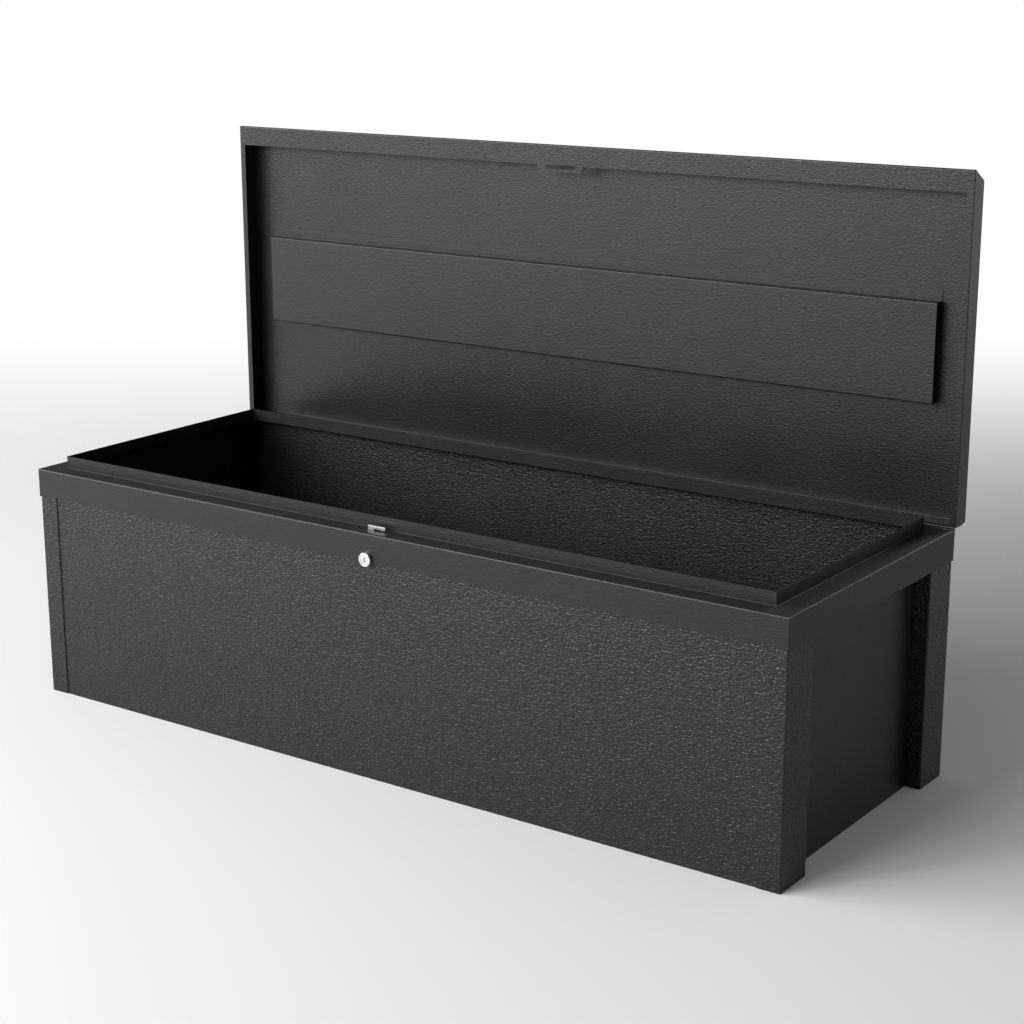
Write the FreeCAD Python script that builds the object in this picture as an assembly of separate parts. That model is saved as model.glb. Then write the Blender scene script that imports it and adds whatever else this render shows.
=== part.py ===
"""Steel storage chest with a full-width hinged lid, modelled with its lid standing open.

Millimetres. X runs from left to right along the front, Y from front to back and Z up.
The origin is on the floor, under the middle of the body.
The lid and what it carries are drawn shut, and then turned about the hinge pin to stand open.
"""
import FreeCAD, Part
import math
import os

# Body
length = 1200.0              # over the rim, left to right
depth = 442.6                # over the rim, front to back
ledge_height = 332.6         # floor to the top of the rim's ledge
body_sheet = 1.2             # posts, panels and floor
rim_sheet = 1.5              # rim rails
bend_inside = 0.7            # inside radius of every fold
corner_round = 1.5           # upright corners of the rim

# Corner posts and the recess between them in each end
post_front_width = 31.0      # flange on the long side
post_side_width = 62.5       # face on the end
recess_depth = 21.3          # from the post's end face in to the end panel
post_lap = 14.0              # flange that carries the end panel
panel_lap = 15.0             # long panels behind the posts' flanges
fold_gap = 0.1               # sheet's edge to the start of a neighbour's fold

# Rim
front_band = 38.0            # height of the band along the front and the back
side_band = 40.5             # height of the band along the ends
front_ledge = 27.0           # rim edge to the upstand, along the front
rear_ledge = 25.1            # the same along the back
side_ledge = 32.0            # the same along the ends
upstand = 16.9               # height above the ledge

# Floor
floor_flange = 15.0          # turned-up edge inside the panels
floor_gap = 0.2              # floor plate to the posts

# Lid, measured shut
lid_overhang = 13.05         # shut lid's front, forward of the rim's front
lid_height = 29.0
lid_sheet = 1.2
lid_slope = 16.6             # the front wall leans back by this much at the top
front_return = 29.7          # inward flange under the front wall
side_return = 9.2            # inward flange under the end walls
lid_clearance = 0.3          # shut lid above the ledge
lid_set_forward = 4.75       # shut lid's back, forward of the rim's back
lid_edge_round = 1.0         # long top edges of the end walls

# Stiffener across the middle of the lid
stiffener_sheet = 1.2
stiffener_inset = 46.5       # its ends, in from the lid's ends
stiffener_crown = 129.9      # width of the raised face
stiffener_depth = 16.1       # raised face to the lid panel
stiffener_back_flange = 12.3
stiffener_front_flange = 14.4
stiffener_from_back = 151.3  # lid's back to the raised face

# Slotted tab on the lid's front flange
tab_reach = 9.2
tab_width = 75.6
tab_centre_x = -7.3
tab_corner = 8.0
tab_slot_length = 49.4
tab_slot_width = 5.6
tab_slot_centre_x = -6.5
tab_slot_from_edge = 6.8     # slot's centre line to the tab's free edge

# Hinge
pin_radius = 1.5
knuckle_radius = 3.5
knuckle_count = 23
knuckle_gap = 0.3            # between neighbouring knuckles
hinge_end_gap = 1.0          # hinge end to the rim's end
pin_clearance = 0.05
leaf_sheet = 1.5
leaf_width = 25.0            # pin to the leaf's free edge
leaf_relief = 0.5            # leaf edge to the other leaf's knuckles
pin_to_lid_back = 4.25       # pin behind the shut lid's back
pin_below_lid = 2.5          # pin under the shut lid's lower edge
rebate_clearance = 0.5       # rim rebate to the hinge

# Rivets
rivet_radius = 1.6
rivet_head_radius = 3.3
rivet_head_height = 1.1
rivet_tail_radius = 2.6
rivet_tail_height = 0.7
rivet_clearance = 0.05
hinge_rivet_count = 12
hinge_rivet_end = 67.0       # hinge end to its last rivet
leaf_rivet_drop = 16.0       # pin to the rivet line

# Lid stops, which carry the open lid behind the hinge
stop_sheet = 2.0
stop_width = 50.0
stop_reach = 14.0            # stop's foot to its lip
stop_shelf_drop = 9.0        # pin to the top of the shelf
stop_from_rivet = 51.2727    # stop's centre, inward of the second hinge rivet
stop_rivet_pitch = 30.0
stop_gap = 0.25              # lip to the open lid's hinge leaf

# Lock
lock_x = 0.0
lock_below_ledge = 33.6
bezel_radius = 9.2
bezel_height = 5.0
bezel_round = 0.8
barrel_radius = 8.0
barrel_flats = 13.6
barrel_length = 11.3
plug_radius = 6.0
plug_recess = 0.3
plug_clearance = 0.05
keyway_length = 7.0
keyway_width = 1.6
keyway_depth = 6.0
tail_square = 7.0
tail_clearance = 0.05
nut_across_flats = 22.0
nut_thickness = 4.0
lock_hole_clearance = 0.2
crank_thickness = 2.0
crank_hub_radius = 6.5
crank_boss_radius = 3.2
crank_pin_radius = 1.5
crank_behind_barrel = 1.0
screw_radius = 1.5
screw_head_radius = 2.75
screw_head_height = 1.6
screw_length = 5.0
screw_clearance = 0.05

# Latch hook, drawn unlocked
latch_travel = 9.0
latch_turn = 90.0            # turn of the key for the whole travel
hook_sheet = 2.5
hook_front_in_slot = 0.45    # hook's front face to the front edge of the tab's slot
hook_left_x = -10.2
hook_stem_width = 9.4
hook_length = 27.6
hook_nose_length = 7.0
hook_nose_drop = 0.5
hook_top = 6.3               # above the ledge
hook_over_tab = 0.3          # nose above the shut lid's tab
hook_plate_width = 39.0
hook_plate_top = 5.1         # ledge's underside to the plate
hook_plate_height = 17.0
hook_fork_width = 13.0
fork_clearance = 0.3
fork_foot = 2.2              # fork's end below the crank pin's lowest centre line
ledge_slot_left = 16.8       # ledge slot past the hook's stem, on the left
ledge_slot_right = 0.8       # the same on the right, with the latch locked
ledge_slot_width = 4.0

# Latch guide
guide_sheet = 1.5
guide_width = 56.0
guide_foot = 20.0
guide_shelf_below_lock = 15.0
guide_gap = 0.15             # guide to the hook's plate
stud_radius = 2.0
stud_spacing = 18.0
stud_clearance = 0.15
stud_below_plate_top = 8.0

# Worked out from the above
end_x = length / 2
rim_y = depth / 2
ledge_under = ledge_height - rim_sheet
post_x = end_x - rim_sheet
post_y = rim_y - rim_sheet
panel_y = post_y - body_sheet
recess_x = post_x - recess_depth
return_y = post_y - post_side_width
lap_x = recess_x - body_sheet
upstand_x = end_x - side_ledge
upstand_front_y = -rim_y + front_ledge
upstand_back_y = rim_y - rear_ledge
rim_top = ledge_height + upstand

lid_back = rim_y - lid_set_forward
lid_front = -rim_y - lid_overhang
lid_bottom = ledge_height + lid_clearance
lid_top = lid_bottom + lid_height
flange_end = lid_front + front_return
tab_end = flange_end + tab_reach
tab_slot_y = tab_end - tab_slot_from_edge

pin_y = lid_back + pin_to_lid_back
pin_z = lid_bottom - pin_below_lid
rebate_y = lid_back - rebate_clearance
rebate_z = pin_z - knuckle_radius - rebate_clearance
rear_top = rebate_z - rim_sheet
leaf_y = rim_y + leaf_sheet
hinge_x = end_x - hinge_end_gap
knuckle_pitch = 2 * hinge_x / knuckle_count
body_rivet_z = pin_z - leaf_rivet_drop
lid_rivet_z = pin_z + leaf_rivet_drop

lock_z = ledge_height - lock_below_ledge
barrel_end = -rim_y + barrel_length
crank_front = barrel_end + crank_behind_barrel
crank_back = crank_front + crank_thickness
crank_radius = latch_travel / 2 / math.sin(math.radians(latch_turn / 2))

hook_front = tab_slot_y - tab_slot_width / 2 + hook_front_in_slot
hook_back = hook_front + hook_sheet
fork_x = lock_x - latch_travel / 2
plate_top = ledge_under - hook_plate_top
plate_bottom = plate_top - hook_plate_height
stud_z = plate_top - stud_below_plate_top
guide_y = hook_back + guide_gap


def vec(x, y, z):
    return FreeCAD.Vector(x, y, z)


def block(x0, x1, y0, y1, z0, z1):
    """Box between two corners, given as pairs per axis."""
    return Part.makeBox(x1 - x0, y1 - y0, z1 - z0, vec(x0, y0, z0))


def rod(radius, start, end):
    """Round bar between two points."""
    axis = end - start
    return Part.makeCylinder(radius, axis.Length, start, axis)


def joined(shapes):
    """One solid from touching shapes, without the seams between them."""
    return shapes[0].multiFuse(shapes[1:]).removeSplitter()


def in_xy(u, v):
    return vec(u, v, 0)


def in_xz(u, v):
    return vec(u, 0, v)


def in_yz(u, v):
    return vec(0, u, v)


def face_edges(path, offset, sheet, side):
    """One face of a folded sheet: straight runs and bend arcs, offset to the left of the path."""
    points = [FreeCAD.Vector(u, v, 0) for u, v in path]
    runs = [(b - a).normalize() for a, b in zip(points, points[1:])]
    lefts = [vec(-run.y, run.x, 0) for run in runs]
    marks = [[points[0] + lefts[0] * offset]]
    for i in range(1, len(points) - 1):
        turn = math.copysign(1, runs[i - 1].cross(runs[i]).z)
        radius = bend_inside + (sheet if turn == side else 0)
        half_angle = runs[i - 1].getAngle(runs[i]) / 2
        trim = radius * math.tan(half_angle)
        centre = points[i] - runs[i - 1] * trim + lefts[i - 1] * turn * radius
        outward = (points[i] - centre).normalize()
        marks.append([points[i] - runs[i - 1] * trim + lefts[i - 1] * offset,
                      centre + outward * (radius - turn * offset),
                      points[i] + runs[i] * trim + lefts[i] * offset])
    marks.append([points[-1] + lefts[-1] * offset])
    return marks


def face_curves(marks, to_space):
    """Lines from mark to mark, and an arc at each mark that has three points."""
    curves = []
    for here, there in zip(marks, marks[1:]):
        ends = [to_space(point.x, point.y) for point in (here[-1], there[0])]
        curves.append(Part.LineSegment(*ends).toShape())
        if len(there) == 3:
            curves.append(Part.Arc(*[to_space(point.x, point.y) for point in there]).toShape())
    return curves


def folded(path, sheet, side, to_space, travel):
    """Folded sheet from the path of one face.

    The metal lies to the left of the path for side 1 and to its right for side -1.
    """
    near = face_edges(path, 0, sheet, side)
    far = face_edges(path, side * sheet, sheet, side)
    end = face_curves([near[-1], far[-1]], to_space)
    start = face_curves([[far[0][0]], [near[0][0]]], to_space)
    back = face_curves(far, to_space)[::-1]
    outline = Part.Wire(face_curves(near, to_space) + end + back + start)
    return Part.Face(outline).extrude(travel)


def flat(points, to_space, travel):
    """Flat plate from straight-sided points."""
    corners = [to_space(u, v) for u, v in points]
    return Part.Face(Part.makePolygon(corners + [corners[0]])).extrude(travel)


def stadium(centre, span, width, to_space, travel):
    """Long round-ended plate along the first axis, used to cut slots."""
    u, v = centre
    half = span / 2 - width / 2
    radius = width / 2
    top = Part.LineSegment(to_space(u - half, v + radius), to_space(u + half, v + radius))
    right = Part.Arc(to_space(u + half, v + radius), to_space(u + half + radius, v),
                     to_space(u + half, v - radius))
    bottom = Part.LineSegment(to_space(u + half, v - radius), to_space(u - half, v - radius))
    left = Part.Arc(to_space(u - half, v - radius), to_space(u - half - radius, v),
                    to_space(u - half, v + radius))
    wire = Part.Wire([edge.toShape() for edge in (top, right, bottom, left)])
    return Part.Face(wire).extrude(travel)


def mirrored_x(shape):
    return shape.mirror(vec(0, 0, 0), vec(1, 0, 0))


def opened(shape):
    """Turn a piece of the shut lid back about the hinge pin, to stand upright."""
    return shape.rotated(vec(0, pin_y, pin_z), vec(1, 0, 0), -90)


def front_corners(edge_y, upstand_y, inner_y):
    """Mitre points of a corner on the right, from the rim's edge in to the upstand's inner face."""
    return [(end_x, edge_y), (upstand_x, upstand_y), (upstand_x - rim_sheet, inner_y)]


def long_rail_room(edge_y, upstand_y, inner_y):
    """Space between the mitres of a long rail."""
    right = front_corners(edge_y, upstand_y, inner_y)
    left = [(-x, y) for x, y in reversed(right)]
    return flat(right + left, in_xy, vec(0, 0, rim_top))


def end_rail_room():
    """Space between the mitres of the right-hand end rail."""
    front = front_corners(-rim_y, upstand_front_y, upstand_front_y + rim_sheet)
    back = front_corners(rim_y, upstand_back_y, upstand_back_y - rim_sheet)
    return flat(front + back[::-1], in_xy, vec(0, 0, rim_top))


def rim_envelope():
    """The rim's plan outline with its upright corners rounded."""
    room = block(-end_x, end_x, -rim_y, rim_y, 0, rim_top)
    upright = [edge for edge in room.Edges if abs(edge.tangentAt(0).z) > 0.5]
    return room.makeFillet(corner_round, upright)


def lock_hole():
    """Round hole for the lock's barrel, through the front band and the front panel."""
    radius = barrel_radius + lock_hole_clearance
    return rod(radius, vec(lock_x, -rim_y, lock_z), vec(lock_x, -panel_y + body_sheet, lock_z))


def front_rim_rail():
    path = [(-rim_y, ledge_height - front_band), (-rim_y, ledge_height),
            (upstand_front_y, ledge_height), (upstand_front_y, rim_top)]
    rail = folded(path, rim_sheet, -1, in_yz, vec(length, 0, 0))
    rail.translate(vec(-end_x, 0, 0))
    room = long_rail_room(-rim_y, upstand_front_y, upstand_front_y + rim_sheet)
    stem_right = hook_left_x + hook_stem_width + latch_travel + ledge_slot_right
    slot_left = hook_left_x - ledge_slot_left
    slot = stadium(((slot_left + stem_right) / 2, (hook_front + hook_back) / 2),
                   stem_right - slot_left, ledge_slot_width, in_xy, vec(0, 0, 3 * rim_sheet))
    slot.translate(vec(0, 0, ledge_height - 2 * rim_sheet))
    return rail.common(room).common(rim_envelope()).cut(lock_hole()).cut(slot)


def rear_rim_rail():
    """Back rail, with a rebate along its top corner for the hinge."""
    path = [(rim_y, ledge_height - front_band), (rim_y, rebate_z), (rebate_y, rebate_z),
            (rebate_y, ledge_height), (upstand_back_y, ledge_height), (upstand_back_y, rim_top)]
    rail = folded(path, rim_sheet, 1, in_yz, vec(length, 0, 0))
    rail.translate(vec(-end_x, 0, 0))
    room = long_rail_room(rim_y, upstand_back_y, upstand_back_y - rim_sheet)
    inner_x = end_x - rim_sheet
    wall_x = inner_x - bend_inside
    wall = block(-wall_x, wall_x, rebate_y - rim_sheet, rebate_y, rear_top, ledge_under)
    shelf = block(-inner_x, inner_x, rebate_y - rim_sheet, rim_y - rim_sheet, rear_top, rebate_z)
    rail = joined([rail.common(room).common(rim_envelope()), wall, shelf])
    holes = [rivet_hole(x, body_rivet_z) for x in hinge_rivet_places() + stop_rivet_places()]
    return rail.cut(Part.makeCompound(holes))


def right_rim_rail():
    path = [(end_x, ledge_height - side_band), (end_x, ledge_height),
            (upstand_x, ledge_height), (upstand_x, rim_top)]
    rail = folded(path, rim_sheet, 1, in_xz, vec(0, depth, 0))
    rail.translate(vec(0, -rim_y, 0))
    rebate = block(0, end_x, rebate_y, rim_y, rebate_z, rim_top)
    return rail.common(end_rail_room()).common(rim_envelope()).cut(rebate)


def right_post(back):
    """Folded post on the right: long-side flange, end face, return and lap flange."""
    way = 1 if back else -1
    top = (rear_top if back else ledge_under) - bend_inside
    path = [(post_x - post_front_width, way * post_y), (post_x, way * post_y),
            (post_x, way * return_y), (lap_x, way * return_y),
            (lap_x, way * (return_y - post_lap))]
    return folded(path, body_sheet, -way, in_xy, vec(0, 0, top))


def long_panel(back):
    """Front or back panel, behind the posts' flanges."""
    half = post_x - post_front_width + panel_lap
    if back:
        return block(-half, half, panel_y - body_sheet, panel_y, 0, rear_top)
    panel = block(-half, half, -panel_y, -panel_y + body_sheet, 0, ledge_under)
    return panel.cut(lock_hole())


def right_end_panel():
    """End panel on the posts' lap flanges, with its edges just short of their folds."""
    half = return_y - bend_inside - fold_gap
    return block(lap_x, recess_x, -half, half, 0, ledge_under)


def floor_panel():
    """Floor tray: turned up inside the long panels and the end panels, flat in the post pockets."""
    wall_y = panel_y - body_sheet
    middle_x = post_x - post_front_width - floor_gap
    inner_x = lap_x - body_sheet - floor_gap
    pocket_x = post_x - body_sheet - floor_gap
    pocket_y = return_y + body_sheet + floor_gap
    side_flange_y = return_y - post_lap - 2 * floor_gap
    tray = folded([(-wall_y, floor_flange), (-wall_y, 0), (wall_y, 0), (wall_y, floor_flange)],
                  body_sheet, 1, in_yz, vec(2 * middle_x, 0, 0))
    tray.translate(vec(-middle_x, 0, 0))
    pieces = [tray]
    for side in (-1, 1):
        span = sorted((side * middle_x, side * inner_x))
        pieces.append(block(*span, -pocket_y, pocket_y, 0, body_sheet))
        flange = folded([(lap_x, floor_flange), (lap_x, 0), (middle_x, 0)],
                        body_sheet, -1, in_xz, vec(0, 2 * side_flange_y, 0))
        flange.translate(vec(0, -side_flange_y, 0))
        pieces.append(flange if side == 1 else mirrored_x(flange))
        span = sorted((side * middle_x, side * pocket_x))
        for way in (-1, 1):
            reach = sorted((way * pocket_y, way * (wall_y - floor_gap)))
            pieces.append(block(*span, *reach, 0, body_sheet))
    return joined(pieces)


def lid_outline():
    """Outer face of the lid's section, from the back's lower edge round to the front flange."""
    return [(lid_back, lid_bottom), (lid_back, lid_top), (lid_front + lid_slope, lid_top),
            (lid_front, lid_bottom), (flange_end, lid_bottom)]


def lock_tab():
    """Rounded tab on the front flange, with the slot that the latch hook passes through."""
    half = tab_width / 2
    travel = vec(0, 0, lid_sheet)
    tab = block(tab_centre_x - half, tab_centre_x + half, flange_end - tab_corner, tab_end,
                lid_bottom, lid_bottom + lid_sheet)
    free = [edge for edge in tab.Edges
            if abs(edge.tangentAt(0).z) > 0.5 and abs(edge.Vertexes[0].Y - tab_end) < 0.01]
    tab = tab.makeFillet(tab_corner, free)
    slot = stadium((tab_slot_centre_x, tab_slot_y), tab_slot_length, tab_slot_width,
                   in_xy, travel)
    slot.translate(vec(0, 0, lid_bottom))
    return tab, slot


def lid_shell():
    """Main sheet of the lid: back wall, flat top, sloped front and the flange with its tab."""
    inner = length - 2 * lid_sheet
    section = folded(lid_outline(), lid_sheet, 1, in_yz, vec(inner, 0, 0))
    section.translate(vec(-inner / 2, 0, 0))
    tab, slot = lock_tab()
    holes = [rivet_hole(x, lid_rivet_z) for x in hinge_rivet_places()]
    return opened(joined([section, tab]).cut(Part.makeCompound([slot] + holes)))


def lid_right_end():
    """End of the lid, welded over the ends of the main sheet, with its inward flange."""
    marks = face_edges(lid_outline(), 0, lid_sheet, 1)
    edges = face_curves(marks, in_yz) + face_curves([marks[-1], marks[0]], in_yz)
    wall = Part.Face(Part.Wire(edges)).extrude(vec(lid_sheet, 0, 0))
    wall.translate(vec(end_x - lid_sheet, 0, 0))
    flange = block(end_x - side_return, end_x - lid_sheet, flange_end, lid_back - lid_sheet,
                   lid_bottom, lid_bottom + lid_sheet)
    end = joined([wall, flange])
    top_edges = [edge for edge in end.Edges
                 if abs(edge.CenterOfMass.x - end_x) < 0.01
                 and abs(edge.CenterOfMass.z - lid_top) < 0.01]
    return opened(end.makeFillet(lid_edge_round, top_edges))


def lid_stiffener():
    """Top-hat channel on the inside of the lid."""
    panel_z = lid_top - lid_sheet
    flange_z = panel_z - stiffener_sheet
    crown_z = panel_z - stiffener_depth
    back = lid_back - stiffener_from_back
    front = back - stiffener_crown
    path = [(back + stiffener_back_flange, flange_z), (back, flange_z), (back, crown_z),
            (front, crown_z), (front, flange_z), (front - stiffener_front_flange, flange_z)]
    half = end_x - stiffener_inset
    hat = folded(path, stiffener_sheet, -1, in_yz, vec(2 * half, 0, 0))
    hat.translate(vec(-half, 0, 0))
    return opened(hat)


def knuckle_spans(first):
    """Left and right ends of every second knuckle, starting at the given one."""
    spans = []
    for i in range(first, knuckle_count, 2):
        left = -hinge_x + i * knuckle_pitch
        spans.append((left + knuckle_gap / 2, left + knuckle_pitch - knuckle_gap / 2))
    return spans


def knuckles(first):
    return [rod(knuckle_radius, vec(left, pin_y, pin_z), vec(right, pin_y, pin_z))
            for left, right in knuckle_spans(first)]


def pin_bore():
    return rod(pin_radius + pin_clearance, vec(-end_x, pin_y, pin_z), vec(end_x, pin_y, pin_z))


def hinge_body_leaf():
    """Leaf on the rim's back, with knuckles at both ends of the hinge."""
    plate = block(-hinge_x, hinge_x, rim_y, leaf_y, pin_z - leaf_width, pin_z)
    relief_z = pin_z - knuckle_radius - leaf_relief
    reliefs = [block(left - knuckle_gap, right + knuckle_gap, rim_y, leaf_y, relief_z, pin_z)
               for left, right in knuckle_spans(1)]
    plate = plate.cut(Part.makeCompound(reliefs))
    leaf = joined([plate] + knuckles(0)).cut(pin_bore())
    holes = [rivet_hole(x, body_rivet_z) for x in hinge_rivet_places() + stop_rivet_places()]
    return leaf.cut(Part.makeCompound(holes))


def hinge_lid_leaf():
    """Leaf behind the lid's back wall, with knuckles between those of the body leaf."""
    plate = block(-hinge_x, hinge_x, lid_back, lid_back + leaf_sheet, pin_z, pin_z + leaf_width)
    relief_z = pin_z + knuckle_radius + leaf_relief
    reliefs = [block(left - knuckle_gap, right + knuckle_gap, lid_back, lid_back + leaf_sheet,
                     pin_z, relief_z)
               for left, right in knuckle_spans(0)]
    plate = plate.cut(Part.makeCompound(reliefs))
    leaf = joined([plate] + knuckles(1)).cut(pin_bore())
    holes = [rivet_hole(x, lid_rivet_z) for x in hinge_rivet_places()]
    return opened(leaf.cut(Part.makeCompound(holes)))


def hinge_pin():
    return rod(pin_radius, vec(-hinge_x, pin_y, pin_z), vec(hinge_x, pin_y, pin_z))


def hinge_rivet_places():
    first = hinge_rivet_end - hinge_x
    pitch = -2 * first / (hinge_rivet_count - 1)
    return [first + i * pitch for i in range(hinge_rivet_count)]


def stop_centres():
    left = hinge_rivet_places()[1] + stop_from_rivet
    return (left, -left)


def stop_rivet_places():
    return [centre + side * stop_rivet_pitch / 2 for centre in stop_centres() for side in (-1, 1)]


def rivet_hole(x, z):
    """Rivet hole through the sheets near the back of the rim and of the shut lid."""
    return rod(rivet_radius + rivet_clearance, vec(x, rebate_y - 3 * rim_sheet, z),
               vec(x, leaf_y + stop_sheet, z))


def rivet(x, inner_y, outer_y, z):
    """Rivet along Y: dome outside the outer sheet, formed tail inside the inner one."""
    shank = rod(rivet_radius, vec(x, inner_y, z), vec(x, outer_y, z))
    tail = rod(rivet_tail_radius, vec(x, inner_y - rivet_tail_height, z), vec(x, inner_y, z))
    sphere_radius = (rivet_head_radius ** 2 + rivet_head_height ** 2) / (2 * rivet_head_height)
    centre_y = outer_y + rivet_head_height - sphere_radius
    dome = Part.makeSphere(sphere_radius, vec(x, centre_y, z))
    room = block(x - rivet_head_radius, x + rivet_head_radius, outer_y,
                 outer_y + rivet_head_height, z - rivet_head_radius, z + rivet_head_radius)
    return joined([shank, tail, dome.common(room)])


def hinge_body_rivets():
    return Part.makeCompound([rivet(x, rim_y - rim_sheet, leaf_y, body_rivet_z)
                              for x in hinge_rivet_places()])


def hinge_lid_rivets():
    rivets = [rivet(x, lid_back - lid_sheet, lid_back + leaf_sheet, lid_rivet_z)
              for x in hinge_rivet_places()]
    return opened(Part.makeCompound(rivets))


def lid_stop(centre_x):
    """Hooked strip that the open lid's hinge leaf lands on."""
    lip_y = leaf_y + stop_sheet + stop_reach
    lip_top = pin_z + pin_to_lid_back - leaf_sheet - stop_gap
    shelf_z = pin_z - stop_shelf_drop
    path = [(leaf_y, pin_z - leaf_width), (leaf_y, shelf_z), (lip_y, shelf_z), (lip_y, lip_top)]
    strip = folded(path, stop_sheet, -1, in_yz, vec(stop_width, 0, 0))
    strip.translate(vec(centre_x - stop_width / 2, 0, 0))
    return strip


def lid_stops():
    holes = Part.makeCompound([rivet_hole(x, body_rivet_z) for x in stop_rivet_places()])
    return Part.makeCompound([lid_stop(x).cut(holes) for x in stop_centres()])


def lid_stop_rivets():
    return Part.makeCompound([rivet(x, rim_y - rim_sheet, leaf_y + stop_sheet, body_rivet_z)
                              for x in stop_rivet_places()])


def on_lock(y):
    return vec(lock_x, y, lock_z)


def lock_housing():
    """Lock case: round face in front of the band, and a flatted barrel through it."""
    bezel = rod(bezel_radius, on_lock(-rim_y - bezel_height), on_lock(-rim_y))
    rim = [edge for edge in bezel.Edges
           if len(edge.Vertexes) == 1 and abs(edge.CenterOfMass.y + rim_y + bezel_height) < 0.01]
    bezel = bezel.makeFillet(bezel_round, rim)
    barrel = rod(barrel_radius, on_lock(-rim_y), on_lock(barrel_end))
    flats = block(lock_x - barrel_flats / 2, lock_x + barrel_flats / 2, -rim_y, barrel_end,
                  lock_z - barrel_radius, lock_z + barrel_radius)
    bore = rod(plug_radius + plug_clearance, on_lock(-rim_y - bezel_height), on_lock(barrel_end))
    return joined([bezel, barrel.common(flats)]).cut(bore)


def turned_to_crank(shape):
    """Turn about the lock's axis from upright to the crank's place at rest, over to the left."""
    return shape.rotated(on_lock(0), vec(0, 1, 0), -latch_turn / 2)


def tail_block(clearance, start, end):
    half = tail_square / 2 + clearance
    bar = block(lock_x - half, lock_x + half, start, end, lock_z - half, lock_z + half)
    return turned_to_crank(bar)


def lock_plug():
    """Turning plug with its keyway, and a square tail for the crank."""
    face = -rim_y - bezel_height + plug_recess
    plug = rod(plug_radius, on_lock(face), on_lock(barrel_end))
    shoulder = rod(plug_radius - plug_clearance, on_lock(barrel_end), on_lock(crank_front))
    keyway = block(lock_x - keyway_width / 2, lock_x + keyway_width / 2, face,
                   face + keyway_depth, lock_z - keyway_length / 2, lock_z + keyway_length / 2)
    thread = rod(screw_radius + screw_clearance, on_lock(crank_back - screw_length - 1),
                 on_lock(crank_back))
    plug = joined([plug, shoulder, tail_block(0, crank_front, crank_back)])
    return plug.cut(keyway).cut(thread)


def lock_nut():
    start = -panel_y + body_sheet
    radius = nut_across_flats / math.sqrt(3)
    corners = [(lock_x + radius * math.cos(math.radians(60 * i)),
                lock_z + radius * math.sin(math.radians(60 * i))) for i in range(6)]
    nut = flat(corners, in_xz, vec(0, nut_thickness, 0))
    nut.translate(vec(0, start, 0))
    bore = rod(barrel_radius + lock_hole_clearance / 2, on_lock(start),
               on_lock(start + nut_thickness))
    return nut.cut(bore)


def lock_crank():
    """Cam plate on the plug's tail, with the pin that drives the latch hook."""
    boss_z = lock_z + crank_radius
    hub = rod(crank_hub_radius, on_lock(crank_front), on_lock(crank_back))
    boss = rod(crank_boss_radius, vec(lock_x, crank_front, boss_z), vec(lock_x, crank_back, boss_z))
    pin = rod(crank_pin_radius, vec(lock_x, crank_back, boss_z),
              vec(lock_x, hook_back - guide_gap, boss_z))
    crank = turned_to_crank(joined([hub, boss, pin]))
    return crank.cut(tail_block(tail_clearance, crank_front, crank_back))


def crank_screw():
    head = rod(screw_head_radius, on_lock(crank_back), on_lock(crank_back + screw_head_height))
    rim = [edge for edge in head.Edges
           if len(edge.Vertexes) == 1
           and abs(edge.CenterOfMass.y - crank_back - screw_head_height) < 0.01]
    head = head.makeFillet(screw_head_height / 3, rim)
    shank = rod(screw_radius, on_lock(crank_back - screw_length), on_lock(crank_back))
    return joined([head, shank])


def stud_places():
    return [fork_x + latch_travel - stud_spacing + i * stud_spacing - stud_radius
            for i in range(2)]


def latch_hook():
    """Sliding plate: hook above the ledge, guide slots below it and a fork for the crank pin."""
    left = hook_left_x
    stem_right = left + hook_stem_width
    nose_left = left + hook_length - hook_nose_length
    tip = left + hook_length
    top = ledge_height + hook_top
    nose_z = lid_bottom + lid_sheet + hook_over_tab
    throat_z = nose_z + hook_nose_drop
    plate_centre = stud_places()[0] + (stud_spacing - latch_travel) / 2
    plate_left = plate_centre - hook_plate_width / 2
    plate_right = plate_centre + hook_plate_width / 2
    fork_left = fork_x - hook_fork_width / 2
    fork_right = fork_x + hook_fork_width / 2
    lowest_pin = lock_z + crank_radius * math.cos(math.radians(latch_turn / 2))
    fork_end = lowest_pin - crank_pin_radius - fork_foot
    outline = [(left, top), (tip, top), (tip, nose_z), (nose_left, nose_z),
               (nose_left, throat_z), (stem_right, throat_z), (stem_right, plate_top),
               (plate_right, plate_top), (plate_right, plate_bottom), (fork_right, plate_bottom),
               (fork_right, fork_end), (fork_left, fork_end), (fork_left, plate_bottom),
               (plate_left, plate_bottom), (plate_left, plate_top), (left, plate_top)]
    travel = vec(0, hook_sheet, 0)
    hook = flat(outline, in_xz, travel)
    cuts = []
    for x in stud_places():
        height = 2 * (stud_radius + stud_clearance)
        cuts.append(stadium((x - latch_travel / 2, stud_z), latch_travel + height, height,
                            in_xz, travel))
    throat = crank_pin_radius + fork_clearance
    throat_top = lock_z + crank_radius
    cuts.append(rod(throat, vec(fork_x, 0, throat_top), vec(fork_x, hook_sheet, throat_top)))
    cuts.append(block(fork_x - throat, fork_x + throat, 0, hook_sheet, fork_end, throat_top))
    hook = hook.cut(Part.makeCompound(cuts))
    hook.translate(vec(0, hook_front, 0))
    return hook


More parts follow.
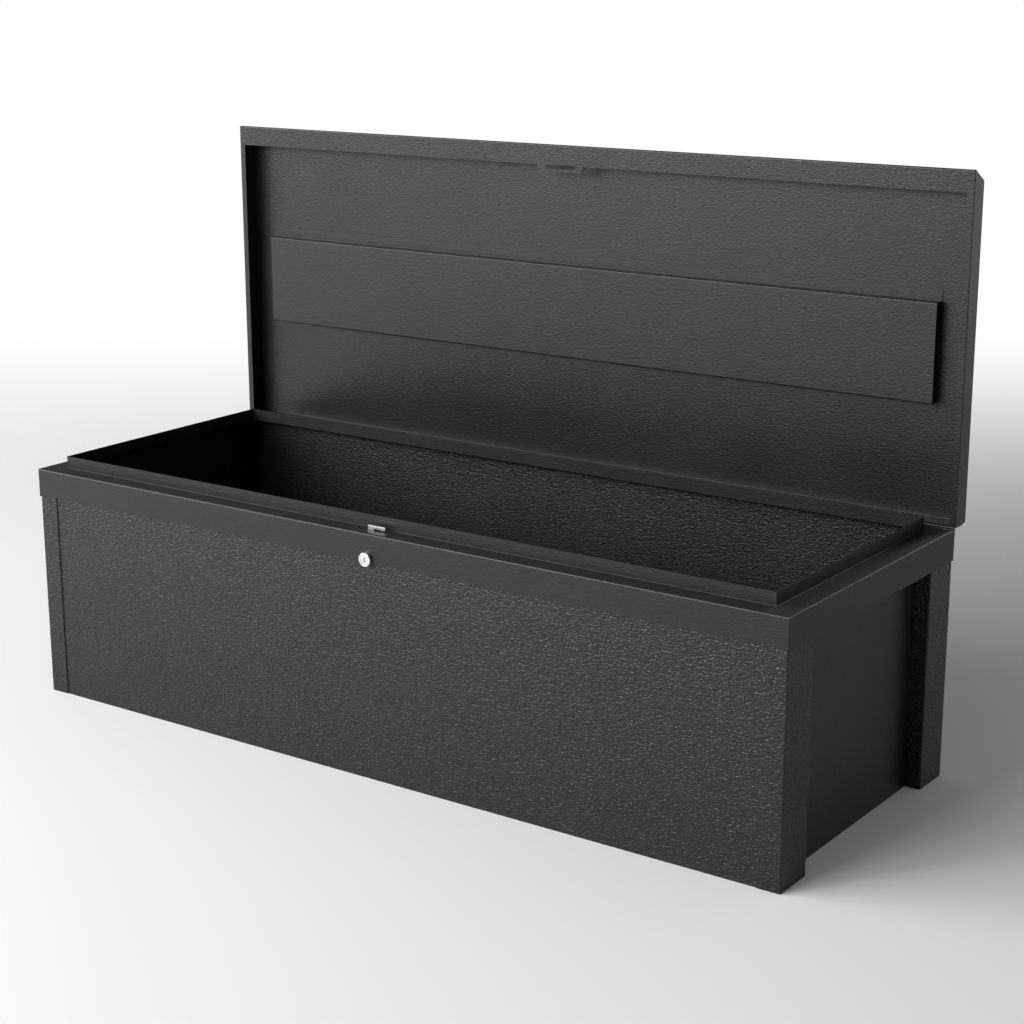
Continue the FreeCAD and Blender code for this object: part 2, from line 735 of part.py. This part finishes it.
def latch_guide():
    """Bracket inside the front panel that the hook's plate slides against."""
    inside = -panel_y + body_sheet
    shelf_z = lock_z - guide_shelf_below_lock
    path = [(inside, shelf_z - guide_foot), (inside, shelf_z), (guide_y, shelf_z),
            (guide_y, plate_top)]
    bracket = folded(path, guide_sheet, -1, in_yz, vec(guide_width, 0, 0))
    bracket.translate(vec(fork_x + latch_travel / 2 - guide_width / 2, 0, 0))
    holes = [rod(stud_radius + rivet_clearance, vec(x, guide_y, stud_z),
                 vec(x, guide_y + guide_sheet, stud_z)) for x in stud_places()]
    return bracket.cut(Part.makeCompound(holes))


def latch_studs():
    """Two headed studs that hold the hook's plate to its guide."""
    studs = []
    back = guide_y + guide_sheet
    face = hook_front - guide_gap
    for x in stud_places():
        shank = rod(stud_radius, vec(x, face, stud_z), vec(x, back, stud_z))
        head = rod(rivet_head_radius, vec(x, face - rivet_head_height, stud_z),
                   vec(x, face, stud_z))
        tail = rod(rivet_tail_radius, vec(x, back, stud_z),
                   vec(x, back + rivet_tail_height, stud_z))
        studs.append(joined([shank, head, tail]))
    return Part.makeCompound(studs)


def pieces():
    """Every piece of the chest, by name."""
    found = {
        "front_panel": long_panel(back=False),
        "back_panel": long_panel(back=True),
        "right_end_panel": right_end_panel(),
        "floor_panel": floor_panel(),
        "front_right_post": right_post(back=False),
        "rear_right_post": right_post(back=True),
        "front_rim_rail": front_rim_rail(),
        "rear_rim_rail": rear_rim_rail(),
        "right_rim_rail": right_rim_rail(),
        "hinge_body_leaf": hinge_body_leaf(),
        "hinge_lid_leaf": hinge_lid_leaf(),
        "hinge_pin": hinge_pin(),
        "hinge_body_rivets": hinge_body_rivets(),
        "hinge_lid_rivets": hinge_lid_rivets(),
        "lid_shell": lid_shell(),
        "lid_right_end": lid_right_end(),
        "lid_stiffener": lid_stiffener(),
        "lid_stops": lid_stops(),
        "lid_stop_rivets": lid_stop_rivets(),
        "lock_housing": lock_housing(),
        "lock_plug": lock_plug(),
        "lock_nut": lock_nut(),
        "lock_crank": lock_crank(),
        "crank_screw": crank_screw(),
        "latch_hook": latch_hook(),
        "latch_guide": latch_guide(),
        "latch_studs": latch_studs(),
    }
    for name in ("right_end_panel", "front_right_post", "rear_right_post", "right_rim_rail",
                 "lid_right_end"):
        found[name.replace("right", "left")] = mirrored_x(found[name])
    return found


os.makedirs("parts", exist_ok=True)
for name, shape in pieces().items():
    shape.exportStep(os.path.join("parts", name + ".step"))
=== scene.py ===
"""Steel storage chest: powder coat, plated works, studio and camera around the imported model."""

import math

import bpy
from mathutils import Matrix, Vector

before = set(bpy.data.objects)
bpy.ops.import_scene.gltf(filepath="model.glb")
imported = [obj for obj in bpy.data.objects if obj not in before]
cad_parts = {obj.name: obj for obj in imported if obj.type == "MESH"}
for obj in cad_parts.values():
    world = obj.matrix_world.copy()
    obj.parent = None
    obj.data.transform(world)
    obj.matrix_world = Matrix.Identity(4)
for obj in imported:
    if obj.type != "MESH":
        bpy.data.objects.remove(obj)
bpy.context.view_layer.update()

bl_info = {
    "name": "Steel storage chest",
    "version": (1, 0, 0),
    "blender": (4, 5, 0),
    "location": "View3D > Sidebar > Chest",
    "description": "Finishes of a steel storage chest, with its studio and camera",
    "category": "Object",
}

BODY_NODES = ("front_panel", "front_left_post", "front_right_post", "rear_left_post",
              "rear_right_post")
BACK_NODES = ("back_panel",)
END_NODES = ("left_end_panel", "right_end_panel", "floor_panel")
RIM_NODES = ("front_rim_rail", "rear_rim_rail", "left_rim_rail", "right_rim_rail")
LID_NODES = ("lid_shell", "lid_left_end", "lid_right_end")
STIFFENER_NODES = ("lid_stiffener",)
HINGE_NODES = ("hinge_body_leaf", "hinge_lid_leaf", "hinge_body_rivets", "hinge_lid_rivets",
               "lid_stops", "lid_stop_rivets")
LOCK_NODES = ("lock_housing", "lock_plug")
HOOK_NODES = ("latch_hook",)
WORKS_NODES = ("hinge_pin", "lock_nut", "lock_crank", "crank_screw", "latch_guide",
               "latch_studs")

# milder coats, as shares of the settings
BACK_GRAIN_SHARE = 0.6       # of the body's grain
BACK_GLOSS_SHARE = 0.5       # of the bead gloss
RIM_WAVE_SHARE = 0.3         # of the waviness
RIM_GLOSS_SHARE = 0.2        # of the bead gloss
LID_GLOSS_SHARE = 0.35       # of the bead gloss
HINGE_GRAIN_SHARE = 0.5      # of the rim's grain

# powder coat
GRAIN_STRETCH = (0.6, 0.6, 1.0)    # below 1 along X and Y, so that beads are wider than tall
BEND_SCALE = 0.6             # bends over one grain size
BEND_REACH = 0.9             # grain sizes that a bend moves a bead
BEAD_BLEND = 0.35            # softness of the creases between beads
BEAD_EDGE = (0.22, 0.5)      # from a bead's middle, where its gloss starts to fade and is gone
BEAD_SHARE = 0.6             # of the grain's height, from the beads
FINE_SHARE = 0.7             # of the grain's height, from a fine noise
FINE_SCALE = 1.1             # features of that noise over one grain size
SPECK_SCALE = 2.5            # specks of tone over one grain size
WAVES_PER_METRE = 5.0
DRIFTS_PER_METRE = 9.0
COAT_SPREAD = 0.22           # roughness from the least to the most
COAT_SHADES = (0.8, 1.2)     # darkest and lightest tone, as shares of the colour
FACES_UP = (0.6, 0.95)       # upward part of the normal where dulling starts and is full

# plating
STREAK_STRETCH = (0.12, 1.0, 1.0)    # below 1 along X, so that streaks run that way
STREAKS_PER_METRE = 2600.0
SMUDGES_PER_METRE = 160.0
PLATING_SPREAD = 0.3         # roughness from the least to the most
PLATING_SHADES = (0.9, 1.0)  # darkest and lightest tone, as shares of the colour

# floor and room
FLOOR_RADIUS = 8.0
FLOOR_SIDES = 96
FLOOR_DROP = 0.0002          # floor's depth below the chest's lower edges
WHITE_ALL_ROUND = (5.0, 8.0)       # distances where the floor starts to whiten and is white
WHITE_BEHIND = (0.9, 3.2)    # the same, measured only along the way behind
WAY_BEHIND = (-0.578, 0.816, 0.0)
HORIZON_FADE = 0.04          # upward part of a direction where the room's white has faded


class CoatSettings(bpy.types.PropertyGroup):
    """Black powder coat."""
    colour: bpy.props.FloatVectorProperty(
        name="Colour", description="Colour of the coat", subtype="COLOR", size=3,
        min=0.0, max=1.0, default=(0.0075, 0.0075, 0.0077))
    roughness: bpy.props.FloatProperty(
        name="Roughness", description="Mean roughness of the coat", subtype="FACTOR",
        min=0.0, max=1.0, default=0.36)
    stiffener_roughness: bpy.props.FloatProperty(
        name="Stiffener roughness", description="Mean roughness on the lid's stiffener",
        subtype="FACTOR", min=0.0, max=1.0, default=0.40)
    rim_roughness: bpy.props.FloatProperty(
        name="Rim roughness", description="Mean roughness on the rim and the back panel",
        subtype="FACTOR", min=0.0, max=1.0, default=0.42)
    ledge_dulling: bpy.props.FloatProperty(
        name="Ledge dulling", description="Roughness added where the rim faces up",
        subtype="FACTOR", min=0.0, max=1.0, default=0.2)
    bead_gloss: bpy.props.FloatProperty(
        name="Bead gloss", description="Roughness lost on the grain's beads, on front and posts",
        subtype="FACTOR", min=0.0, max=1.0, default=0.14)
    ior: bpy.props.FloatProperty(
        name="Refraction", description="Index of refraction of the coat's clear surface",
        min=1.0, max=2.5, default=1.43)
    grain_size: bpy.props.FloatProperty(
        name="Grain size", description="Height of one bead of the coat's grain",
        unit="LENGTH", min=0.0005, default=0.0028)
    body_grain: bpy.props.FloatProperty(
        name="Body grain", description="Height of the grain on the front panel and the posts",
        unit="LENGTH", min=0.0, default=0.0013)
    rim_grain: bpy.props.FloatProperty(
        name="Rim grain", description="Height of the grain on the rim, the ends and the floor",
        unit="LENGTH", min=0.0, default=0.0003)
    lid_grain: bpy.props.FloatProperty(
        name="Lid grain", description="Height of the grain on the lid",
        unit="LENGTH", min=0.0, default=0.00032)
    waviness: bpy.props.FloatProperty(
        name="Waviness", description="Height of the long waves in the sheet",
        unit="LENGTH", min=0.0, default=0.0006)


class PlatingSettings(bpy.types.PropertyGroup):
    """Bright plating of the lock, the hook and the works behind them."""
    chrome: bpy.props.FloatVectorProperty(
        name="Chrome", description="Colour of the lock's face and the hook",
        subtype="COLOR", size=3, min=0.0, max=1.0, default=(0.78, 0.78, 0.79))
    chrome_roughness: bpy.props.FloatProperty(
        name="Chrome roughness", description="Roughness of the polished plating",
        subtype="FACTOR", min=0.0, max=1.0, default=0.14)
    lock_streaks: bpy.props.FloatProperty(
        name="Lock streaks", description="Height of the streaks on the lock's face",
        unit="LENGTH", min=0.0, precision=6, default=0.000004)
    hook_streaks: bpy.props.FloatProperty(
        name="Hook streaks", description="Height of the streaks on the hook",
        unit="LENGTH", min=0.0, precision=6, default=0.000006)
    zinc: bpy.props.FloatVectorProperty(
        name="Zinc", description="Colour of the plated works", subtype="COLOR", size=3,
        min=0.0, max=1.0, default=(0.55, 0.56, 0.58))
    zinc_roughness: bpy.props.FloatProperty(
        name="Zinc roughness", description="Roughness of the plated works",
        subtype="FACTOR", min=0.0, max=1.0, default=0.34)
    zinc_streaks: bpy.props.FloatProperty(
        name="Zinc streaks", description="Height of the streaks on the plated works",
        unit="LENGTH", min=0.0, precision=6, default=0.00001)


class StudioSettings(bpy.types.PropertyGroup):
    """Floor, lamps and camera."""
    floor_colour: bpy.props.FloatVectorProperty(
        name="Floor", description="Colour of the floor", subtype="COLOR", size=3,
        min=0.0, max=1.0, default=(0.86, 0.86, 0.86))
    room_level: bpy.props.FloatProperty(
        name="Room light", description="Strength of the even light overhead",
        min=0.0, default=0.25)
    key_power: bpy.props.FloatProperty(
        name="Key lamp", description="Power of the large lamp in front to the left",
        unit="POWER", min=0.0, default=245.0)
    fill_power: bpy.props.FloatProperty(
        name="Fill lamp", description="Power of the lamp in front",
        unit="POWER", min=0.0, default=125.0)
    back_power: bpy.props.FloatProperty(
        name="Back lamp", description="Power of the small lamp behind to the right",
        unit="POWER", min=0.0, default=16.0)
    camera_place: bpy.props.FloatVectorProperty(
        name="Camera place", description="Where the camera stands", subtype="TRANSLATION",
        unit="LENGTH", size=3, default=(1.60782, -2.17267, 1.03625))
    camera_turn: bpy.props.FloatProperty(
        name="Camera turn", description="Turn of the view to the left of straight ahead",
        subtype="ANGLE", default=0.616307)
    camera_tilt: bpy.props.FloatProperty(
        name="Camera tilt", description="Tilt of the view below the horizon",
        subtype="ANGLE", default=0.261851)
    camera_roll: bpy.props.FloatProperty(
        name="Camera roll", description="Roll of the camera about its view",
        subtype="ANGLE", default=-0.0016026)
    lens: bpy.props.FloatProperty(
        name="Lens", description="Focal length on a 36 mm sensor", unit="CAMERA",
        default=73.049)


def dress(nodes, material):
    """Give CAD nodes a material, through their objects' own slots."""
    for name in nodes:
        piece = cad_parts[name]
        if not piece.material_slots:
            raise RuntimeError(name + " has no material slot")
        for slot in piece.material_slots:
            slot.link = "OBJECT"
            slot.material = material


def feed(tree, socket, value):
    """Link a socket to an input, or set the input to a plain value."""
    if isinstance(value, bpy.types.NodeSocket):
        tree.links.new(value, socket)
    else:
        socket.default_value = value


def maths(tree, operation, *values, clamp=False):
    """Result of a Math node on numbers or sockets."""
    node = tree.nodes.new("ShaderNodeMath")
    node.operation = operation
    node.use_clamp = clamp
    for socket, value in zip(node.inputs, values):
        feed(tree, socket, value)
    return node.outputs[0]


def vector_maths(tree, operation, *vectors):
    """Vector Math node on vectors or sockets."""
    node = tree.nodes.new("ShaderNodeVectorMath")
    node.operation = operation
    for socket, vector in zip(node.inputs, vectors):
        feed(tree, socket, vector)
    return node


def stretched(tree, vector, scale):
    """A vector with its three parts scaled."""
    node = tree.nodes.new("ShaderNodeMapping")
    feed(tree, node.inputs["Scale"], scale)
    feed(tree, node.inputs["Vector"], vector)
    return node.outputs["Vector"]


def noise(tree, vector, scale, detail=2.0, rough=0.5, output="Fac"):
    """Noise texture on a vector."""
    node = tree.nodes.new("ShaderNodeTexNoise")
    feed(tree, node.inputs["Detail"], detail)
    feed(tree, node.inputs["Roughness"], rough)
    feed(tree, node.inputs["Vector"], vector)
    feed(tree, node.inputs["Scale"], scale)
    return node.outputs[output]


def smooth(tree, value, start, end, low=0.0, high=1.0):
    """Smooth step of a socket from low at start to high at end."""
    node = tree.nodes.new("ShaderNodeMapRange")
    node.interpolation_type = "SMOOTHSTEP"
    for key, number in (("From Min", start), ("From Max", end), ("To Min", low),
                        ("To Max", high)):
        feed(tree, node.inputs[key], number)
    feed(tree, node.inputs["Value"], value)
    return node.outputs["Result"]


def upward(tree, vector):
    """Upward part of a vector."""
    node = tree.nodes.new("ShaderNodeSeparateXYZ")
    feed(tree, node.inputs[0], vector)
    return node.outputs["Z"]


def finish_group(name, inputs):
    """Shader node group with number inputs, and the three outputs that every finish has."""
    tree = bpy.data.node_groups.new(name, "ShaderNodeTree")
    for way, keys in (("INPUT", inputs), ("OUTPUT", ("Height", "Tone", "Roughness"))):
        for key in keys:
            tree.interface.new_socket(key, in_out=way, socket_type="NodeSocketFloat")
    given = tree.nodes.new("NodeGroupInput").outputs
    made = tree.nodes.new("NodeGroupOutput").inputs
    return tree, given, made


def powder_group():
    """Grain, tone and roughness of a powder coat, measured on the piece itself."""
    tree, given, made = finish_group("Powder coat", (
        "Grain Size", "Grain Height", "Wave Height", "Roughness", "Bead Gloss",
        "Top Dulling"))
    place = tree.nodes.new("ShaderNodeTexCoord").outputs["Object"]
    normal = tree.nodes.new("ShaderNodeTexCoord").outputs["Normal"]
    per_metre = maths(tree, "DIVIDE", 1.0, given["Grain Size"])

    # leather grain of beads wider than they are tall, bent by a coarser noise
    wide = stretched(tree, place, GRAIN_STRETCH)
    bend = noise(tree, wide, maths(tree, "MULTIPLY", per_metre, BEND_SCALE), detail=1.0,
                 output="Color")
    reach = vector_maths(tree, "SCALE", (1.0, 1.0, 1.0))
    feed(tree, reach.inputs["Scale"],
         maths(tree, "MULTIPLY", given["Grain Size"], BEND_REACH))
    bent = vector_maths(tree, "MULTIPLY_ADD", bend, reach.outputs["Vector"], wide)
    cells = tree.nodes.new("ShaderNodeTexVoronoi")
    cells.feature = "SMOOTH_F1"
    feed(tree, cells.inputs["Smoothness"], BEAD_BLEND)
    feed(tree, cells.inputs["Vector"], bent.outputs["Vector"])
    feed(tree, cells.inputs["Scale"], per_metre)
    fall = cells.outputs["Distance"]
    fine = noise(tree, wide, maths(tree, "MULTIPLY", per_metre, FINE_SCALE), detail=3.0,
                 rough=0.55)
    grain = maths(tree, "SUBTRACT", maths(tree, "MULTIPLY", fine, FINE_SHARE),
                  maths(tree, "MULTIPLY", fall, BEAD_SHARE))
    wave = noise(tree, place, WAVES_PER_METRE, detail=1.0)
    height = maths(tree, "ADD", maths(tree, "MULTIPLY", grain, given["Grain Height"]),
                   maths(tree, "MULTIPLY", wave, given["Wave Height"]))
    feed(tree, made["Height"], height)

    # tone and sheen drift slowly over the sheet and finely with the grain
    drift = noise(tree, place, DRIFTS_PER_METRE, detail=3.0)
    speck = noise(tree, place, maths(tree, "MULTIPLY", per_metre, SPECK_SCALE), detail=1.0)
    tone = maths(tree, "ADD", maths(tree, "MULTIPLY", drift, 0.5),
                 maths(tree, "MULTIPLY", speck, 0.5))
    feed(tree, made["Tone"], tone)
    spread = maths(tree, "MULTIPLY", maths(tree, "SUBTRACT", tone, 0.5), COAT_SPREAD)

    # the beads are glossier than the creases, and handling dulls the faces that look up
    beads = maths(tree, "SUBTRACT", 1.0, smooth(tree, fall, *BEAD_EDGE))
    glossed = maths(tree, "MULTIPLY", beads, given["Bead Gloss"])
    dulled = maths(tree, "MULTIPLY", smooth(tree, upward(tree, normal), *FACES_UP),
                   given["Top Dulling"])
    mean = maths(tree, "SUBTRACT", maths(tree, "ADD", given["Roughness"], dulled), glossed)
    feed(tree, made["Roughness"], maths(tree, "ADD", mean, spread, clamp=True))
    return tree


def plating_group():
    """Fine brushed streaks and smudges of bright plating."""
    tree, given, made = finish_group("Plating", ("Roughness", "Streak Height"))
    place = tree.nodes.new("ShaderNodeTexCoord").outputs["Object"]
    streaks = noise(tree, stretched(tree, place, STREAK_STRETCH), STREAKS_PER_METRE)
    smudge = noise(tree, place, SMUDGES_PER_METRE, detail=3.0)
    feed(tree, made["Height"], maths(tree, "MULTIPLY", streaks, given["Streak Height"]))
    feed(tree, made["Tone"], smudge)
    mixed = maths(tree, "ADD", maths(tree, "MULTIPLY", streaks, 0.5),
                  maths(tree, "MULTIPLY", smudge, 0.5))
    spread = maths(tree, "MULTIPLY", maths(tree, "SUBTRACT", mixed, 0.5), PLATING_SPREAD)
    feed(tree, made["Roughness"], maths(tree, "ADD", given["Roughness"], spread, clamp=True))
    return tree


def material_with(name, group_name, build, values, colour, shades):
    """Principled material driven by a shared group, with its tone between two shades."""
    material = bpy.data.materials.new(name)
    material.use_nodes = True
    tree = material.node_tree
    shader = tree.nodes["Principled BSDF"]
    part = tree.nodes.new("ShaderNodeGroup")
    part.node_tree = bpy.data.node_groups.get(group_name) or build()
    for key, value in values.items():
        feed(tree, part.inputs[key], value)
    mix = tree.nodes.new("ShaderNodeMix")
    mix.data_type = "RGBA"
    for key, shade in zip("AB", shades):
        feed(tree, mix.inputs[key], (*(Vector(colour) * shade), 1.0))
    feed(tree, mix.inputs["Factor"], part.outputs["Tone"])
    feed(tree, shader.inputs["Base Color"], mix.outputs["Result"])
    feed(tree, shader.inputs["Roughness"], part.outputs["Roughness"])
    bump = tree.nodes.new("ShaderNodeBump")
    feed(tree, bump.inputs["Strength"], 1.0)
    feed(tree, bump.inputs["Distance"], 1.0)
    feed(tree, bump.inputs["Height"], part.outputs["Height"])
    feed(tree, shader.inputs["Normal"], bump.outputs["Normal"])
    return material, shader


def coat_material(name, roughness, grain_height, wave_height, bead_gloss=0.0, dulling=0.0):
    """Black powder coat with a roughness, a relief and a gloss of its own."""
    coat = bpy.context.scene.chest_coat
    values = {"Grain Size": coat.grain_size, "Grain Height": grain_height,
              "Wave Height": wave_height, "Roughness": roughness, "Bead Gloss": bead_gloss,
              "Top Dulling": dulling}
    material, shader = material_with(name, "Powder coat", powder_group, values, coat.colour,
                                     COAT_SHADES)
    shader.inputs["IOR"].default_value = coat.ior
    return material


def plated_material(name, colour, roughness, streak_height):
    """Bright plating with a colour, a roughness and streaks of its own."""
    values = {"Roughness": roughness, "Streak Height": streak_height}
    material, shader = material_with(name, "Plating", plating_group, values, colour,
                                     PLATING_SHADES)
    shader.inputs["Metallic"].default_value = 1.0
    return material


class CHEST_OT_coat_body(bpy.types.Operator):
    """Coat the posts, panels and floor of the body"""
    bl_idname = "chest.coat_body"
    bl_label = "Coat body"

    def execute(self, context):
        coat = context.scene.chest_coat
        dress(BODY_NODES, coat_material("Body coat", coat.roughness, coat.body_grain,
                                        coat.waviness, coat.bead_gloss))
        dress(END_NODES, coat_material("End coat", coat.roughness, coat.rim_grain,
                                       coat.waviness))
        dress(BACK_NODES, coat_material("Back coat", coat.rim_roughness,
                                        coat.body_grain * BACK_GRAIN_SHARE, coat.waviness,
                                        coat.bead_gloss * BACK_GLOSS_SHARE))
        return {"FINISHED"}


class CHEST_OT_coat_rim(bpy.types.Operator):
    """Coat the four rails of the rim"""
    bl_idname = "chest.coat_rim"
    bl_label = "Coat rim"

    def execute(self, context):
        coat = context.scene.chest_coat
        dress(RIM_NODES, coat_material("Rim coat", coat.rim_roughness, coat.rim_grain,
                                       coat.waviness * RIM_WAVE_SHARE,
                                       coat.bead_gloss * RIM_GLOSS_SHARE,
                                       coat.ledge_dulling))
        return {"FINISHED"}


class CHEST_OT_coat_lid(bpy.types.Operator):
    """Coat the lid and its stiffener"""
    bl_idname = "chest.coat_lid"
    bl_label = "Coat lid"

    def execute(self, context):
        coat = context.scene.chest_coat
        bead_gloss = coat.bead_gloss * LID_GLOSS_SHARE
        dress(LID_NODES, coat_material("Lid coat", coat.roughness, coat.lid_grain,
                                       coat.waviness, bead_gloss))
        dress(STIFFENER_NODES, coat_material("Stiffener coat", coat.stiffener_roughness,
                                             coat.lid_grain, coat.waviness, bead_gloss))
        return {"FINISHED"}


class CHEST_OT_coat_hinge(bpy.types.Operator):
    """Coat the hinge's leaves, the rivets and the lid stops"""
    bl_idname = "chest.coat_hinge"
    bl_label = "Coat hinge"

    def execute(self, context):
        coat = context.scene.chest_coat
        dress(HINGE_NODES, coat_material("Hinge coat", coat.roughness,
                                         coat.rim_grain * HINGE_GRAIN_SHARE, 0.0))
        return {"FINISHED"}


class CHEST_OT_plate_lock(bpy.types.Operator):
    """Plate the lock's case and plug"""
    bl_idname = "chest.plate_lock"
    bl_label = "Plate lock"

    def execute(self, context):
        plating = context.scene.chest_plating
        dress(LOCK_NODES, plated_material("Lock chrome", plating.chrome,
                                          plating.chrome_roughness, plating.lock_streaks))
        return {"FINISHED"}


class CHEST_OT_plate_hook(bpy.types.Operator):
    """Plate the latch hook"""
    bl_idname = "chest.plate_hook"
    bl_label = "Plate hook"

    def execute(self, context):
        plating = context.scene.chest_plating
        dress(HOOK_NODES, plated_material("Hook chrome", plating.chrome,
                                          plating.chrome_roughness, plating.hook_streaks))
        return {"FINISHED"}


class CHEST_OT_plate_works(bpy.types.Operator):
    """Plate the hinge pin, the nut, the crank and the latch's guide"""
    bl_idname = "chest.plate_works"
    bl_label = "Plate works"

    def execute(self, context):
        plating = context.scene.chest_plating
        dress(WORKS_NODES, plated_material("Works zinc", plating.zinc,
                                           plating.zinc_roughness, plating.zinc_streaks))
        return {"FINISHED"}


def background_rays(tree):
    """1 for rays from the camera and for rays that gloss or glass sends on."""
    path = tree.nodes.new("ShaderNodeLightPath").outputs
    seen = maths(tree, "ADD", path["Is Camera Ray"], path["Is Glossy Ray"])
    return maths(tree, "ADD", seen, path["Is Transmission Ray"], clamp=True)


def room_world(low, high):
    """Even light of the room: low at the horizon and below, high overhead."""
    world = bpy.data.worlds.new("Studio")
    bpy.context.scene.world = world
    world.use_nodes = True
    tree = world.node_tree
    background = tree.nodes["Background"]
    way = tree.nodes.new("ShaderNodeTexCoord").outputs["Generated"]
    level = smooth(tree, upward(tree, way), 0.0, HORIZON_FADE, low, high)
    feed(tree, background.inputs["Color"], level)
    feed(tree, background.inputs["Strength"], 1.0)


def floor_material(colour):
    """Matt floor, lit near the chest and plain white to the eye farther out."""
    material = bpy.data.materials.new("Floor")
    material.use_nodes = True
    tree = material.node_tree
    shader = tree.nodes["Principled BSDF"]
    feed(tree, shader.inputs["Base Color"], (*colour, 1.0))
    feed(tree, shader.inputs["Roughness"], 0.9)
    feed(tree, shader.inputs["Specular IOR Level"], 0.0)
    white = tree.nodes.new("ShaderNodeEmission")
    place = tree.nodes.new("ShaderNodeTexCoord").outputs["Object"]
    away = vector_maths(tree, "LENGTH", place).outputs["Value"]
    behind = vector_maths(tree, "DOT_PRODUCT", place, WAY_BEHIND).outputs["Value"]
    bare = maths(tree, "MAXIMUM", smooth(tree, away, *WHITE_ALL_ROUND),
                 smooth(tree, behind, *WHITE_BEHIND))
    blend = tree.nodes.new("ShaderNodeMixShader")
    feed(tree, blend.inputs[0], maths(tree, "MULTIPLY", background_rays(tree), bare))
    feed(tree, blend.inputs[1], shader.outputs[0])
    feed(tree, blend.inputs[2], white.outputs[0])
    feed(tree, tree.nodes["Material Output"].inputs["Surface"], blend.outputs[0])
    return material


def floor_piece(colour):
    """Round floor under the chest."""
    turns = [2 * math.pi * i / FLOOR_SIDES for i in range(FLOOR_SIDES)]
    rim = [(FLOOR_RADIUS * math.cos(turn), FLOOR_RADIUS * math.sin(turn), 0.0)
           for turn in turns]
    mesh = bpy.data.meshes.new("Floor")
    mesh.from_pydata(rim, [], [range(FLOOR_SIDES)])
    mesh.materials.append(floor_material(colour))
    floor = bpy.data.objects.new("Floor", mesh)
    floor.location = (0.0, 0.0, -FLOOR_DROP)
    bpy.context.scene.collection.objects.link(floor)


def area_lamp(name, place, aim, size, power, diffuse=True):
    """Soft lamp. Without diffuse it shows only as a gleam."""
    data = bpy.data.lights.new(name, "AREA")
    data.shape = "RECTANGLE"
    data.size, data.size_y = size
    data.energy = power
    lamp = bpy.data.objects.new(name, data)
    lamp.location = place
    lamp.visible_camera = False
    lamp.visible_diffuse = diffuse
    lamp.rotation_mode = "QUATERNION"
    lamp.rotation_quaternion = (Vector(aim) - Vector(place)).to_track_quat("-Z", "Y")
    bpy.context.scene.collection.objects.link(lamp)


def studio_camera(studio):
    """Camera from its place, turn, tilt and roll."""
    turn, tilt, roll = studio.camera_turn, studio.camera_tilt, studio.camera_roll
    ahead = Vector((-math.sin(turn) * math.cos(tilt), math.cos(turn) * math.cos(tilt),
                    -math.sin(tilt)))
    level = Vector((math.cos(turn), math.sin(turn), 0.0))
    above = level.cross(ahead)
    right = math.cos(roll) * level + math.sin(roll) * above
    up = math.cos(roll) * above - math.sin(roll) * level
    data = bpy.data.cameras.new("Camera")
    data.sensor_width = 36.0
    data.lens = studio.lens
    data.clip_end = 50.0
    camera = bpy.data.objects.new("Camera", data)
    axes = Matrix((right, up, -ahead)).transposed().to_4x4()
    camera.matrix_world = Matrix.Translation(Vector(studio.camera_place)) @ axes
    bpy.context.scene.collection.objects.link(camera)
    bpy.context.scene.camera = camera


class CHEST_OT_stage(bpy.types.Operator):
    """Set the room's light, the floor, the lamps and the camera"""
    bl_idname = "chest.stage"
    bl_label = "Stage"

    def execute(self, context):
        studio = context.scene.chest_studio
        context.scene.view_settings.view_transform = "Standard"
        room_world(1.0, studio.room_level)
        floor_piece(studio.floor_colour)
        area_lamp("Key lamp", place=(-3.3, -2.8, 2.2), aim=(0.0, 0.0, 0.3), size=(4.2, 2.6),
                  power=studio.key_power)
        area_lamp("Fill lamp", place=(-1.1, -4.2, 2.0), aim=(0.3, 0.0, 0.4), size=(2.4, 1.1),
                  power=studio.fill_power)
        area_lamp("Back lamp", place=(0.95, 2.05, 1.6), aim=(0.6, 0.0, 0.33),
                  size=(0.4, 0.3), power=studio.back_power, diffuse=False)
        studio_camera(studio)
        return {"FINISHED"}


class CHEST_PT_panel(bpy.types.Panel):
    """Finishes and stage of the chest"""
    bl_label = "Steel storage chest"
    bl_idname = "CHEST_PT_panel"
    bl_space_type = "VIEW_3D"
    bl_region_type = "UI"
    bl_category = "Chest"

    def draw(self, context):
        layout = self.layout
        for title, settings in (("Coat", context.scene.chest_coat),
                                ("Plating", context.scene.chest_plating),
                                ("Studio", context.scene.chest_studio)):
            box = layout.box()
            box.label(text=title)
            for key in settings.__annotations__:
                box.prop(settings, key)
        for operator in OPERATORS:
            layout.operator(operator.bl_idname)


OPERATORS = (CHEST_OT_coat_body, CHEST_OT_coat_rim, CHEST_OT_coat_lid, CHEST_OT_coat_hinge,
             CHEST_OT_plate_lock, CHEST_OT_plate_hook, CHEST_OT_plate_works, CHEST_OT_stage)
SETTINGS = (("chest_coat", CoatSettings), ("chest_plating", PlatingSettings),
            ("chest_studio", StudioSettings))


def register():
    """Register the settings, the operators and the panel."""
    for name, settings in SETTINGS:
        bpy.utils.register_class(settings)
        setattr(bpy.types.Scene, name, bpy.props.PointerProperty(type=settings))
    for item in (*OPERATORS, CHEST_PT_panel):
        bpy.utils.register_class(item)


def unregister():
    """Take away what register added."""
    for item in (CHEST_PT_panel, *reversed(OPERATORS)):
        bpy.utils.unregister_class(item)
    for name, settings in reversed(SETTINGS):
        delattr(bpy.types.Scene, name)
        bpy.utils.unregister_class(settings)


def main():
    """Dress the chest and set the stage."""
    register()
    bpy.ops.chest.coat_body()
    bpy.ops.chest.coat_rim()
    bpy.ops.chest.coat_lid()
    bpy.ops.chest.coat_hinge()
    bpy.ops.chest.plate_lock()
    bpy.ops.chest.plate_hook()
    bpy.ops.chest.plate_works()
    bpy.ops.chest.stage()


if __name__ == "__main__":
    main()
